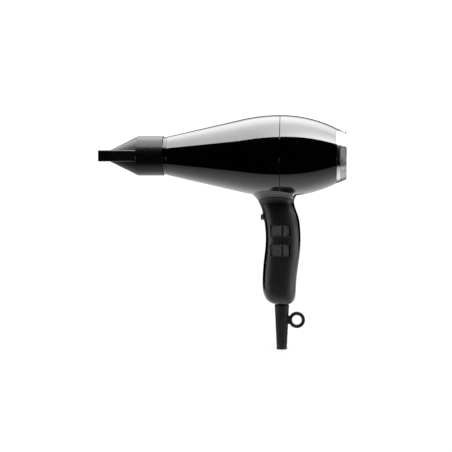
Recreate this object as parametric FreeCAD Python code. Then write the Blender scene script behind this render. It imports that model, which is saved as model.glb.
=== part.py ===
import FreeCAD
import Part
import math
import os

# Professional hair dryer with an AC motor.
# Frame: millimetres, +Z up, nozzle towards -X. The origin is the middle of the grip, on the handle's axis.
# The barrel is a body of revolution about a line along X at height axis_height.

V = FreeCAD.Vector

# ---------------------------------------------------------------- barrel and housings
axis_height = 105.0            # barrel axis above the grip centre
seam_x = -2.0                  # widest section, where the front and rear housings meet
barrel_radius = 44.5           # at the seam
front_length = 124.0           # seam to the shoulder behind the outlet
rear_length = 60.9             # seam to the rear face
front_curve_radius = 190.0     # long arc that runs forward from the seam into the cone
rear_curve_radius = 136.0      # arc from the seam to the rear
shoulder_radius = 21.1         # small end of the cone
housing_wall = 2.2
tongue_length = 3.0            # lip of the front housing inside the rear housing
tongue_wall = 1.2
fit_gap = 0.2                  # between parts that are pushed together
touch_gap = 0.05               # between parts that rest on each other
seam_groove = 0.5              # depth of the V line round the seam
shoulder_round = 0.8

# ---------------------------------------------------------------- outlet and nozzle
outlet_radius = 18.9
outlet_wall = 1.6
outlet_length = 20.0           # tube in front of the shoulder that carries the nozzle
collar_length = 4.2            # trim ring between the shoulder and the nozzle
collar_radius = 20.6
nozzle_radius = 21.6
nozzle_wall = 1.7
nozzle_sleeve_length = 27.8    # round part
nozzle_cone_length = 31.8      # from the round part down to the flat mouth
mouth_length = 8.2             # flat mouth in front of the cone
mouth_height = 12.2
mouth_width = 64.0
mouth_root_width = 39.0        # width of the flat duct where it leaves the round part
mouth_lead = 6.0               # the duct's sides turn parallel this far behind the cone's small end
duct_edge_round = 1.2          # along the flat duct's side edges
mouth_edge_round = 0.5         # round the tip
lip_line_start = 2.0           # fine groove round the mouth, behind the tip
lip_line_width = 0.6
lip_line_depth = 0.4
grip_ring_length = 5.0         # friction ring between nozzle and outlet tube
grip_ring_radius = 20.2
grille_thickness = 2.4

# ---------------------------------------------------------------- rear filter
spigot_radius = 25.0           # rear housing's tube that carries the filter
spigot_length = 5.0
spigot_wall = 1.8
filter_ring_length = 10.8
filter_tail_radius = 25.7      # outside of the ring at its rear end
filter_ring_lip = 3.6          # thickness of the lip at the rear of the ring
filter_lip_radius = 22.2       # clear opening
basket_wall = 1.2
basket_flange = 1.5
ring_gap = 0.4                 # dark line between the rear housing and the ring
rib_count = 80                 # finger ribs round the filter ring
rib_groove_width = 0.95
rib_groove_depth = 0.55
rib_start = 3.6                # plain band in front of the ribs

# ---------------------------------------------------------------- neck and handle
neck_drop = 6.5                # handle top below the barrel's lowest line
handle_length = 111.7
handle_half_thickness = 16.3   # half of the grip's size along Y
shell_wall = 2.0
skirt_rise = 2.0               # the handle's skirt reaches this far up round the neck, front and back
skirt_arch_radius = 40.0       # its top edge arches over the sides of the neck, seen along the barrel
skirt_wall = 1.2
skirt_gap = 0.4                # dark line above the skirt
panel_thickness = 1.6          # soft grip panels let into the shells
panel_proud = 0.3              # how far the panels stand out of the shells
panel_front_band = 3.4         # gloss band of shell left in front of the panels
panel_back_band = 2.2
section_power = 2.3            # superellipse power of the grip's section
section_points = 20
spigot_inset = 3.4             # handle spigot inside the neck floor
flange_out = 1.2
flange_height = 2.0
neck_floor = 2.2

# handle outline: share of the length from the top, front x, back x, share of the half thickness
handle_stations = [
    (0.000, -25.2, 13.1, 0.93),
    (0.045, -23.0, 14.2, 0.95),
    (0.100, -21.0, 16.4, 0.97),
    (0.160, -19.7, 18.5, 0.985),
    (0.240, -18.5, 19.8, 1.0),
    (0.340, -17.8, 20.3, 1.0),
    (0.450, -18.3, 20.0, 1.0),
    (0.570, -19.8, 18.6, 0.995),
    (0.700, -21.0, 16.7, 0.98),
    (0.810, -21.3, 15.6, 0.96),
    (0.890, -20.3, 15.2, 0.93),
    (0.940, -18.2, 14.5, 0.87),
    (0.975, -15.0, 12.8, 0.76),
    (0.993, -11.4, 10.6, 0.63),
    (1.000, -8.6, 8.6, 0.53),
]
# neck flare: height above the handle top, growth at the front, back and sides
neck_flare = [
    (0.0, 0.0, 0.0, 0.0),
    (3.0, 1.6, 0.4, 0.8),
    (6.5, 4.5, 2.1, 2.4),
    (10.0, 8.6, 5.3, 5.1),
    (14.0, 14.0, 9.9, 8.8),
]

# ---------------------------------------------------------------- switches
rocker_length = 19.4
rocker_height = 12.0
rocker_x = -1.65               # middle of the rockers
rocker_pivot_y = -9.0
rocker_proud = 1.2             # how far the rocker's ridge stands out of the grip's section
rocker_sink = 0.9              # how far its two ends lie below it
rocker_ridge_round = 3.0
rocker_line_width = 1.5        # moulded line between the rocker's two faces
rocker_line_depth = 1.1
rocker_gap = 0.4
rocker_swing_deg = 8.0
rocker_underside = 1.5         # from the pivot inwards
trunnion_radius = 1.5
trunnion_length = 15.6
pivot_gap = 0.06
upper_switch_depth = 30.6      # below the handle top
switch_pitch = 21.0
switch_body_length = 19.0
switch_body_height = 16.4
switch_body_depth = 12.0
ear_thickness = 1.5
terminal_length = 3.2
terminal_width = 4.8
terminal_thickness = 0.8

# ---------------------------------------------------------------- cool-shot button
button_depth = 16.0            # below the handle top
button_height = 6.3
button_width = 10.0
button_stands_out = 3.2
button_travel = 2.5
button_gap = 0.3
button_flange = 1.2
bezel_rim = 1.6
bezel_proud = 0.5
plunger_radius = 1.0
plunger_reach = 2.2            # plunger inside the microswitch at rest
microswitch_size = (6.5, 10.0, 8.0)
spring_wire = 0.5
spring_radius = 2.6
spring_turns = 4

# ---------------------------------------------------------------- strain relief
relief_length = 49.0
relief_top_radius = 8.0
relief_tip_radius = 5.8
cord_bore_radius = 3.75
relief_seat_gap = 0.6          # dark line between the handle and the relief
relief_groove_radius = 6.6     # where the handle's floor grips it
relief_head_radius = 8.6
relief_head_height = 2.6
slot_count = 14
slot_pitch = 2.5
slot_height = 1.25
slot_depth = 1.3
slot_first = 9.6               # first slot below the relief's top
spine_width = 3.2
loop_x = 16.5                  # centre of the hanging loop from the relief's axis
loop_drop = 16.8               # centre of the hanging loop below the relief's top
loop_radius = 9.0
loop_hole_radius = 5.3
loop_thickness = 5.0
loop_round = 1.2
loop_neck_height = 8.8

# ---------------------------------------------------------------- air duct, fan and motor
duct_front_x = -22.0
duct_rear_x = 46.0
duct_wall = 1.6
duct_gap = 0.5
fan_tip_gap = 0.8
fan_hub_radius = 13.0
fan_front_x = 26.0
fan_hub_length = 16.0
blade_count = 11
blade_thickness = 1.4
blade_chord = 17.0
blade_pitch_deg = 50.0
vane_count = 7
vane_thickness = 1.5
cup_wall = 1.5
shaft_radius = 2.0
shaft_front_x = -24.5
stator_radius = 21.0
stator_length = 22.0
stator_front_x = -12.0
stator_yoke = 4.0
air_gap = 0.5
armature_radius = 12.2
armature_slots = 12
slot_open = 1.8
commutator_radius = 6.5
commutator_length = 7.0
commutator_bars = 24
bracket_thickness = 2.4
bearing_radius = 4.0
bearing_length = 6.0
bearing_gap = 0.03
brush_width = 4.0
brush_height = 5.0
brush_length = 6.0
motor_screw_radius = 1.4
motor_screw_circle = 18.9
mount_ring_width = 6.0

# ---------------------------------------------------------------- heater
heater_gap = 3.0               # motor cup to the heater's rear end
heater_front_gap = 6.0         # shoulder to the heater's front end
sleeve_inset = 3.8             # mica sleeve inside the barrel's skin
sleeve_thickness = 0.6
board_thickness = 0.8
coil_turns = 11
coil_wire = 1.2
coil_clear = 0.25

# ---------------------------------------------------------------- fasteners and wiring
screw_shank_radius = 1.5
screw_head_radius = 2.8
screw_head_height = 2.2
screw_recess_radius = 3.1
boss_radius = 3.4
neck_screw_y = 10.0
neck_screw_rise = 7.5          # above the handle top
neck_screw_length = 22.0
lead_radius = 1.1
clamp_rise = 8.5               # cord clamp above the handle's floor
# handle screws: x, depth below the handle top
handle_screws = [(-14.0, 6.6), (11.6, 76.0), (-14.4, 70.0), (-14.4, 92.0), (10.4, 92.0)]

# ---------------------------------------------------------------- derived places
shoulder_x = seam_x - front_length
rear_x = seam_x + rear_length
handle_top = axis_height - barrel_radius - neck_drop
handle_bottom = handle_top - handle_length
collar_front_x = shoulder_x - collar_length
nozzle_rear_x = collar_front_x - touch_gap * 4
nozzle_sleeve_x = nozzle_rear_x - nozzle_sleeve_length
nozzle_cone_x = nozzle_sleeve_x - nozzle_cone_length
nozzle_tip_x = nozzle_cone_x - mouth_length
outlet_tip_x = shoulder_x - outlet_length
inner_wall = shell_wall + panel_thickness
BIG = 400.0

os.makedirs("parts", exist_ok=True)


# ---------------------------------------------------------------- helpers
def merged(shape):
    """Join faces that continue one another, if that leaves a sound solid."""
    joined = shape.copy().removeSplitter()
    return joined if joined.isValid() and len(joined.Solids) == len(shape.Solids) else shape


def save(name, shape):
    """Write one named node. A list is a group of separate solids."""
    if isinstance(shape, list):
        shape = Part.makeCompound(shape)
    if not shape.isValid():
        raise RuntimeError(name + " is not a valid solid")
    shape.exportStep("parts/" + name + ".step")


def box(x0, x1, y0, y1, z0, z1):
    return Part.makeBox(x1 - x0, y1 - y0, z1 - z0, V(x0, y0, z0))


def rod_x(x0, x1, radius, y=0.0, z=axis_height):
    return Part.makeCylinder(radius, x1 - x0, V(x0, y, z), V(1, 0, 0))


def rod_y(y0, y1, radius, x, z):
    return Part.makeCylinder(radius, y1 - y0, V(x, y0, z), V(0, 1, 0))


def rod_z(z0, z1, radius, x=0.0, y=0.0):
    return Part.makeCylinder(radius, z1 - z0, V(x, y, z0), V(0, 0, 1))


def ring_x(x0, x1, outer, inner):
    return rod_x(x0, x1, outer).cut(rod_x(x0, x1, inner))


def round_the_barrel(shape, count, first_deg=0.0):
    """Copies of a shape, evenly spaced about the barrel's axis."""
    copies = []
    for i in range(count):
        copy = shape.copy()
        copy.rotate(V(0, 0, axis_height), V(1, 0, 0), first_deg + 360.0 * i / count)
        copies.append(copy)
    return copies


def polygon_face(points):
    return Part.Face(Part.makePolygon(points + [points[0]]))


def turned_x(points):
    """Solid of revolution about the barrel's axis from (x, radius) points."""
    face = polygon_face([V(x, 0, axis_height + r) for x, r in points])
    return face.revolve(V(0, 0, axis_height), V(1, 0, 0), 360)


def turned_z(points, x=0.0):
    """Solid of revolution about a vertical line from (radius, z) points."""
    face = polygon_face([V(x + r, 0, z) for r, z in points])
    return face.revolve(V(x, 0, 0), V(0, 0, 1), 360)


def rounded_path(points, share=0.45):
    """Straight runs joined by tangent arcs, each as large as its two runs allow."""
    edges = []
    start = points[0]
    for before, corner, after in zip(points, points[1:], points[2:]):
        u = (before - corner).normalize()
        w = (after - corner).normalize()
        cut = share * min((before - corner).Length, (after - corner).Length)
        p = corner + u * cut
        q = corner + w * cut
        half = u.getAngle(w) / 2
        bisector = (u + w).normalize()
        middle = corner + bisector * (cut / math.cos(half) - cut * math.tan(half))
        edges.append(Part.LineSegment(start, p).toShape())
        edges.append(Part.Arc(p, middle, q).toShape())
        start = q
    edges.append(Part.LineSegment(start, points[-1]).toShape())
    return edges


def tube_along(points, radius):
    """Round bar that follows a rounded path."""
    wire = Part.Wire(rounded_path(points))
    section = Part.Wire(Part.makeCircle(radius, points[0], points[1] - points[0]))
    return wire.makePipeShell([section], True, True)


def oval(z, front, back, half_y, inset=0.0):
    """Grip section: a closed superellipse at height z."""
    centre = (front + back) / 2
    a = (back - front) / 2 - inset
    b = half_y - inset
    power = 2.0 / section_power
    points = []
    for i in range(section_points):
        t = 2 * math.pi * (i + 0.5) / section_points
        c = math.cos(t)
        s = math.sin(t)
        x = centre + a * math.copysign(abs(c) ** power, c)
        y = b * math.copysign(abs(s) ** power, s)
        points.append(V(x, y, z))
    curve = Part.BSplineCurve()
    curve.interpolate(Points=points, PeriodicFlag=True)
    return Part.Wire(curve.toShape())


def lofted(wires):
    return Part.makeLoft(wires, True, False)


def between(stations, z):
    """Front x, back x and half thickness at a height, read from (z, front, back, half) stations."""
    for upper, lower in zip(stations, stations[1:]):
        if lower[0] <= z <= upper[0]:
            t = (upper[0] - z) / (upper[0] - lower[0])
            return [u + t * (w - u) for u, w in zip(upper[1:], lower[1:])]
    raise ValueError("height outside the outline")


# ---------------------------------------------------------------- the barrel's skin
curve_centre_r = barrel_radius - front_curve_radius
rear_centre_r = barrel_radius - rear_curve_radius
to_centre = math.hypot(front_length, shoulder_radius - curve_centre_r)
centre_angle = math.atan2(shoulder_radius - curve_centre_r, front_length)
cone_angle = math.asin(front_curve_radius / to_centre) - centre_angle


def tangent_point(inset):
    """Where the cone meets the front arc, as (x, radius)."""
    r = front_curve_radius - inset
    return seam_x - r * math.sin(cone_angle), curve_centre_r + r * math.cos(cone_angle)


def skin(x, inset=0.0):
    """Radius of the barrel at x, less an inset measured square to the skin."""
    tx, tr = tangent_point(inset)
    if x < tx:
        return tr - (tx - x) * math.tan(cone_angle)
    if x <= seam_x:
        return curve_centre_r + math.sqrt((front_curve_radius - inset) ** 2 - (x - seam_x) ** 2)
    return rear_centre_r + math.sqrt((rear_curve_radius - inset) ** 2 - (x - seam_x) ** 2)


def skin_solid(inset, x0, x1):
    """The filled barrel between two stations."""
    def at(x):
        return V(x, 0, axis_height + skin(x, inset))

    tx = tangent_point(inset)[0]
    edges = []
    a = x0
    if a < tx:
        b = min(tx, x1)
        edges.append(Part.LineSegment(at(a), at(b)).toShape())
        a = b
    if a < seam_x and a < x1:
        b = min(seam_x, x1)
        edges.append(Part.Arc(at(a), at((a + b) / 2), at(b)).toShape())
        a = b
    if a < x1:
        edges.append(Part.Arc(at(a), at((a + x1) / 2), at(x1)).toShape())
    foot0 = V(x0, 0, axis_height)
    foot1 = V(x1, 0, axis_height)
    edges.append(Part.LineSegment(at(x1), foot1).toShape())
    edges.append(Part.LineSegment(foot1, foot0).toShape())
    edges.append(Part.LineSegment(foot0, at(x0)).toShape())
    face = Part.Face(Part.Wire(edges))
    return face.revolve(V(0, 0, axis_height), V(1, 0, 0), 360)


def skin_shell(inset, thickness, x0, x1):
    return skin_solid(inset, x0, x1).cut(skin_solid(inset + thickness, x0 - 1, x1 + 1))


# ---------------------------------------------------------------- the handle's and neck's outer forms
def handle_at(inset=0.0):
    """Stations of the handle as (z, front, back, half thickness), the floor raised by the inset."""
    length = handle_length - inset
    half = handle_half_thickness
    return [(handle_top - share * length, f, b, k * half) for share, f, b, k in handle_stations]


def handle_solid(inset):
    return lofted([oval(z, f, b, h, inset) for z, f, b, h in handle_at(inset)])


def neck_stations():
    top_f, top_b, top_h = handle_at()[0][1:]
    return [(handle_top + up, top_f - f, top_b + b, top_h + s) for up, f, b, s in neck_flare]


def neck_solid(inset):
    return lofted([oval(z, f, b, h, inset) for z, f, b, h in neck_stations()])


def above_skirt(gap=0.0):
    """The space above the handle's skirt, as a round bar along X whose underside is the arch."""
    return rod_x(-BIG, BIG, skirt_arch_radius - gap, 0.0, handle_top + skirt_rise + skirt_arch_radius)


def skirt_band(outside, inside, gap=0.0):
    """Wall round the neck between two insets, up to the arched line."""
    return neck_solid(outside).cut(neck_solid(inside)).cut(above_skirt(gap))


def handle_middle(z):
    f, b, h = between(handle_at(), z)
    return (f + b) / 2, (b - f) / 2, h


def side_depth(x, z, inset=0.0):
    """Distance of the grip's side surface from the mid-plane at x and z."""
    centre, a, h = handle_middle(z)
    share = min(1.0, abs(x - centre) / (a - inset))
    return (h - inset) * (1 - share ** section_power) ** (1 / section_power)


# ---------------------------------------------------------------- screws
def screw(length, head_radius=screw_head_radius, shank=screw_shank_radius):
    """Pan-head screw along +X: the head's underside is at x = 0 and the shank points to -X."""
    head = Part.makeCylinder(head_radius, screw_head_height, V(0, 0, 0), V(1, 0, 0))
    head = head.makeFillet(0.6, [e for e in head.Edges if e.BoundBox.XMin > screw_head_height - 0.01])
    body = Part.makeCylinder(shank, length, V(-length, 0, 0), V(1, 0, 0))
    slot_a = box(screw_head_height - 1.2, screw_head_height + 1, -0.4, 0.4, -1.7, 1.7)
    slot_b = box(screw_head_height - 1.2, screw_head_height + 1, -1.7, 1.7, -0.4, 0.4)
    return head.fuse(body).cut(slot_a).cut(slot_b)


def placed(shape, x, y, z):
    copy = shape.copy()
    copy.translate(V(x, y, z))
    return copy


neck_screw_z = handle_top + neck_screw_rise
neck_head_x = 9.5
neck_screw_spots = [(neck_head_x, side * neck_screw_y, neck_screw_z) for side in (-1, 1)]


# ---------------------------------------------------------------- housings
def neck_opening():
    """Hole in the neck's floor that the handle's spigot passes."""
    z, f, b, h = handle_at()[0]
    inset = spigot_inset - fit_gap
    return oval(z - 1, f, b, h, inset), oval(z + neck_floor + 1, f, b, h, inset)


def make_housings():
    cavity_skin = skin_solid(housing_wall, shoulder_x + 3.0, rear_x - housing_wall)
    neck_room = neck_solid(housing_wall).common(box(-BIG, BIG, -BIG, BIG, handle_top + neck_floor, BIG))
    opening = lofted(list(neck_opening()))
    barrel = skin_solid(0.0, shoulder_x, rear_x)
    nose = [e for e in barrel.Edges if e.BoundBox.XMax < shoulder_x + 0.01]
    barrel = barrel.makeFillet(shoulder_round, nose)
    whole = barrel.fuse(neck_solid(0.0))
    whole = whole.cut(cavity_skin).cut(neck_room).cut(opening)
    whole = whole.cut(skirt_band(-1.0, skirt_wall + fit_gap, skirt_gap))

    bosses = []
    holes = []
    for x, y, z in neck_screw_spots:
        bosses.append(rod_x(x - neck_screw_length - 1.0, x + 3.5, boss_radius - 0.8, y, z))
        holes.append(rod_x(x - neck_screw_length, x + 1, screw_shank_radius, y, z))
        holes.append(rod_x(x, x + 30, screw_recess_radius, y, z))
        web_y0, web_y1 = sorted((y, y * 3))
        bosses.append(box(x - neck_screw_length - 1.0, x + 3.5, web_y0, web_y1, z - 1.0, z + 1.0))
    inside = neck_solid(0.4)
    for boss in bosses:
        whole = whole.fuse(boss.common(inside))
    for hole in holes:
        whole = whole.cut(hole)
    for x, y, z in neck_screw_spots:
        whole = whole.cut(rod_x(seam_x, x + 1, screw_shank_radius + fit_gap, y, z))

    bottom = barrel_radius - seam_groove
    seam_line = turned_x([(seam_x, bottom), (seam_x - 1.5, bottom + 1.5), (seam_x + 1.5, bottom + 1.5)])
    whole = whole.cut(seam_line.cut(neck_solid(-0.1)))

    front = whole.common(box(-BIG, seam_x, -BIG, BIG, -BIG, BIG))
    rear = whole.common(box(seam_x, BIG, -BIG, BIG, -BIG, BIG))

    bore = outlet_radius - outlet_wall
    front = front.fuse(ring_x(outlet_tip_x, shoulder_x + 4.0, outlet_radius, bore))
    front = front.cut(rod_x(shoulder_x - 1, shoulder_x + 3.5, bore))
    tongue_radius = skin(seam_x, housing_wall)
    tongue = ring_x(seam_x, seam_x + tongue_length, tongue_radius - fit_gap, tongue_radius - tongue_wall)
    root = ring_x(seam_x - 5.0, seam_x, tongue_radius + 0.3, tongue_radius - tongue_wall)
    tongue = tongue.fuse(root).cut(neck_solid(housing_wall - 0.4))
    front = front.fuse(tongue)

    spigot = ring_x(rear_x - housing_wall, rear_x + spigot_length, spigot_radius, spigot_radius - spigot_wall)
    rear = rear.cut(rod_x(rear_x - housing_wall - 1, rear_x + 1, spigot_radius - spigot_wall))
    rear = rear.fuse(spigot)
    save("front_housing", front)
    save("rear_housing", rear)

    waist = collar_radius - 0.7
    collar = turned_x([
        (collar_front_x, outlet_radius), (collar_front_x, collar_radius - 0.5),
        (collar_front_x + 0.5, collar_radius), (collar_front_x + 1.5, collar_radius),
        (collar_front_x + 1.9, waist), (shoulder_x - 1.5, waist),
        (shoulder_x - 1.1, collar_radius), (shoulder_x, collar_radius), (shoulder_x, outlet_radius)])
    save("outlet_collar", collar)

    grille_x = outlet_tip_x + 2.0
    rim = ring_x(grille_x, grille_x + grille_thickness, bore, bore - 1.4)
    bars = [ring_x(grille_x, grille_x + grille_thickness, r + 0.5, r - 0.5) for r in (4.0, 8.5, 12.7)]
    hub_rod = rod_x(grille_x, grille_x + grille_thickness, 2.0)
    spoke = box(grille_x, grille_x + grille_thickness, -0.5, 0.5, axis_height, axis_height + bore - 1.0)
    save("outlet_grille", merged(rim.multiFuse(bars + [hub_rod] + round_the_barrel(spoke, 8))))


# ---------------------------------------------------------------- nozzle
def flat_duct(inset):
    """The flat part of the nozzle, which widens towards the mouth. Its outside has rounded edges."""
    half_tip = mouth_width / 2 - inset
    half_root = mouth_root_width / 2 - inset
    z0 = axis_height - mouth_height / 2 + inset
    root_x = nozzle_sleeve_x + 1.0
    turn_x = nozzle_cone_x + mouth_lead
    tip_x = nozzle_tip_x if inset == 0 else nozzle_tip_x - 1.0
    outline = [V(root_x, -half_root, z0), V(root_x, half_root, z0), V(turn_x, half_tip, z0),
               V(tip_x, half_tip, z0), V(tip_x, -half_tip, z0), V(turn_x, -half_tip, z0)]
    duct = polygon_face(outline).extrude(V(0, 0, mouth_height - 2 * inset))
    if inset > 0:
        return duct
    sides = [e for e in duct.Edges if e.BoundBox.ZLength < 0.01 and e.BoundBox.YMin * e.BoundBox.YMax > 0]
    duct = duct.makeFillet(duct_edge_round, sides)
    rim = [e for e in duct.Edges if e.BoundBox.XMax < tip_x + 0.01]
    return duct.makeFillet(mouth_edge_round, rim)


def nozzle_form(inset):
    """The nozzle's filled form, drawn in by the wall thickness for its inside."""
    r = nozzle_radius - inset
    slant = math.atan2(nozzle_radius - mouth_height / 2, nozzle_cone_length)
    back_off = inset * math.tan(slant / 2)
    cone_tip_r = mouth_height / 2 - inset
    x_cone = nozzle_sleeve_x + back_off
    x_tip = x_cone - (r - cone_tip_r) / math.tan(slant)
    sleeve = turned_x([(nozzle_rear_x, 0), (nozzle_rear_x, r), (x_cone, r), (x_tip, cone_tip_r), (x_tip, 0)])
    return sleeve.fuse(flat_duct(inset))


def make_nozzle():
    outer = nozzle_form(0.0)
    lip_x = nozzle_tip_x + lip_line_start
    lip_line = box(lip_x, lip_x + lip_line_width, -BIG, BIG, -BIG, BIG).cut(flat_duct(lip_line_depth))
    outer = outer.cut(lip_line)
    bore_radius = grip_ring_radius - 0.75
    ring_x0 = outlet_tip_x + 4.0
    bore = rod_x(nozzle_sleeve_x + 2.0, nozzle_rear_x + 1, bore_radius)
    groove = rod_x(ring_x0 - touch_gap, ring_x0 + grip_ring_length + touch_gap, grip_ring_radius + touch_gap)
    nozzle = outer.cut(nozzle_form(nozzle_wall).common(box(-BIG, nozzle_sleeve_x + 3, -BIG, BIG, -BIG, BIG)))
    nozzle = nozzle.cut(bore).cut(groove)
    save("nozzle", nozzle)
    grip_ring = ring_x(ring_x0, ring_x0 + grip_ring_length, grip_ring_radius, outlet_radius + touch_gap)
    save("nozzle_grip_ring", grip_ring)


# ---------------------------------------------------------------- rear filter
def make_filter():
    ring_x0 = rear_x + ring_gap
    ring_x1 = rear_x + filter_ring_length + 0.3
    flange_x0 = rear_x + spigot_length + touch_gap * 4
    flange_x1 = flange_x0 + basket_flange
    bore = spigot_radius + fit_gap
    ring = turned_x([(ring_x0, 0), (ring_x0, skin(ring_x0)), (ring_x1, filter_tail_radius), (ring_x1, 0)])
    rear_rim = [e for e in ring.Edges if e.BoundBox.XMin > ring_x1 - 0.01 and e.BoundBox.YMax > 20]
    ring = ring.makeFillet(1.5, rear_rim)
    ring = ring.cut(rod_x(ring_x0 - 1, flange_x1 + touch_gap, bore))
    ring = ring.cut(rod_x(ring_x0, ring_x1 + 1, filter_lip_radius))
    half = rib_groove_width / 2
    groove = box(ring_x0 + rib_start, ring_x1 + 1, -half, half, axis_height, axis_height + BIG)
    slope = (filter_tail_radius - skin(ring_x0)) / (ring_x1 - ring_x0)
    core_front = skin(ring_x0) - slope - rib_groove_depth
    core_rear = filter_tail_radius + 2 * slope - rib_groove_depth
    core = turned_x([(ring_x0 - 1, 0), (ring_x0 - 1, core_front), (ring_x1 + 2, core_rear), (ring_x1 + 2, 0)])
    ring = ring.cut(Part.makeCompound([g.cut(core) for g in round_the_barrel(groove, rib_count)]))
    save("filter_ring", ring)

    basket_radius = spigot_radius - spigot_wall - fit_gap
    sleeve_front_x = rear_x - 1.0
    basket = ring_x(sleeve_front_x, flange_x1, basket_radius, basket_radius - basket_wall)
    flange = ring_x(flange_x0, flange_x1, bore - fit_gap, basket_radius - basket_wall)
    bars = []
    face_x1 = flange_x1
    for r in (3.6, 7.6, 11.6, 15.6, 19.6):
        bars.append(ring_x(flange_x0, face_x1, r + 0.55, r - 0.55))
    spoke_tip = axis_height + basket_radius - basket_wall + 0.4
    spoke = box(flange_x0, face_x1, -0.8, 0.8, axis_height + 2.0, spoke_tip)
    bars += round_the_barrel(spoke, 8)
    bars.append(rod_x(flange_x0, face_x1, 2.6))
    save("filter_basket", merged(basket.multiFuse([flange] + bars)))
    mesh_radius = basket_radius - basket_wall
    save("filter_mesh", rod_x(flange_x0 - 0.5, flange_x0, mesh_radius))

    guard_x1 = rear_x - housing_wall - touch_gap
    guard_x0 = guard_x1 - 2.0
    guard_radius = skin(guard_x1, housing_wall) - fit_gap * 2
    guard = [ring_x(guard_x0, guard_x1, guard_radius, guard_radius - 2.0), rod_x(guard_x0, guard_x1, 4.0)]
    for r in (9.0, 14.5, 20.0, 25.0):
        guard.append(ring_x(guard_x0, guard_x1, r + 0.6, r - 0.6))
    arm = box(guard_x0, guard_x1, -0.8, 0.8, axis_height + 3.0, axis_height + guard_radius - 1.0)
    guard += round_the_barrel(arm, 6)
    save("fan_guard", merged(guard[0].multiFuse(guard[1:])))


# ---------------------------------------------------------------- handle
switch_heights = [handle_top - upper_switch_depth, handle_top - upper_switch_depth - switch_pitch]
button_z = handle_top - button_depth


def rocker_outline(z):
    """The rocker's face as (x, y) points: sunk front end, ridge that stands proud, sunk back end."""
    ridge_x = handle_middle(z)[0]
    x0 = rocker_x - rocker_length / 2
    x1 = rocker_x + rocker_length / 2
    return [(x0, -side_depth(x0, z) + rocker_sink), (ridge_x, -side_depth(ridge_x, z) - rocker_proud),
            (x1, -side_depth(x1, z) + rocker_sink)]


def rocker_window(z):
    """Opening in shell and panel that clears the rocker's swing."""
    swing = math.radians(rocker_swing_deg)
    face = rocker_outline(z)
    reach = []
    for x, y in (face[0], face[-1]):
        dx = abs(x - rocker_x)
        dy = abs(y - rocker_pivot_y)
        reach.append(dx * math.cos(swing) + dy * math.sin(swing) + rocker_gap)
    half = rocker_height / 2 + rocker_gap
    return box(rocker_x - reach[0], rocker_x + reach[1], -BIG, rocker_pivot_y + 4.0, z - half, z + half)


def button_form(grow, x0, x1):
    """Stadium-shaped bar along X for the button and the holes round it."""
    half = button_height / 2 + grow
    flat = (button_width - button_height) / 2
    bar = box(x0, x1, -flat, flat, button_z - half, button_z + half)
    for side in (-1, 1):
        bar = bar.fuse(rod_x(x0, x1, half, side * flat, button_z))
    return merged(bar)


def panel_window():
    """Side outline of the grip panels, as a prism along Y."""
    shares = [s for s in handle_stations if 0.02 < s[0] < 0.97]
    top_z = handle_top - 1.2
    front = [V(handle_stations[0][1] + panel_front_band, -BIG, top_z)]
    back = [V(handle_stations[0][2] - panel_back_band, -BIG, top_z)]
    for share, f, b, _ in shares:
        z = handle_top - share * (handle_length - panel_thickness)
        front.append(V(f + panel_front_band, -BIG, z))
        back.append(V(b - panel_back_band, -BIG, z))
    foot_z = handle_bottom + 2.4
    foot = [V(-7.0, -BIG, foot_z), V(7.6, -BIG, foot_z)]
    left = Part.BSplineCurve()
    left.interpolate(Points=front + [foot[0]])
    right = Part.BSplineCurve()
    right.interpolate(Points=[foot[1]] + back[::-1])
    edges = [left.toShape(), Part.LineSegment(foot[0], foot[1]).toShape(), right.toShape(),
             Part.LineSegment(back[0], front[0]).toShape()]
    return Part.Face(Part.Wire(edges)).extrude(V(0, 2 * BIG, 0))


def bezel_solid(outer_form):
    """Frame round the button, let into the front of the handle."""
    frame = button_form(button_gap + bezel_rim, -BIG / 4, 0.0)
    f = between(handle_at(), button_z)[0]
    frame = frame.common(box(f - 5, f + 2.4, -BIG, BIG, -BIG, BIG))
    return frame.common(outer_form).cut(button_form(button_gap, -BIG / 4, 0.0))


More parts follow.
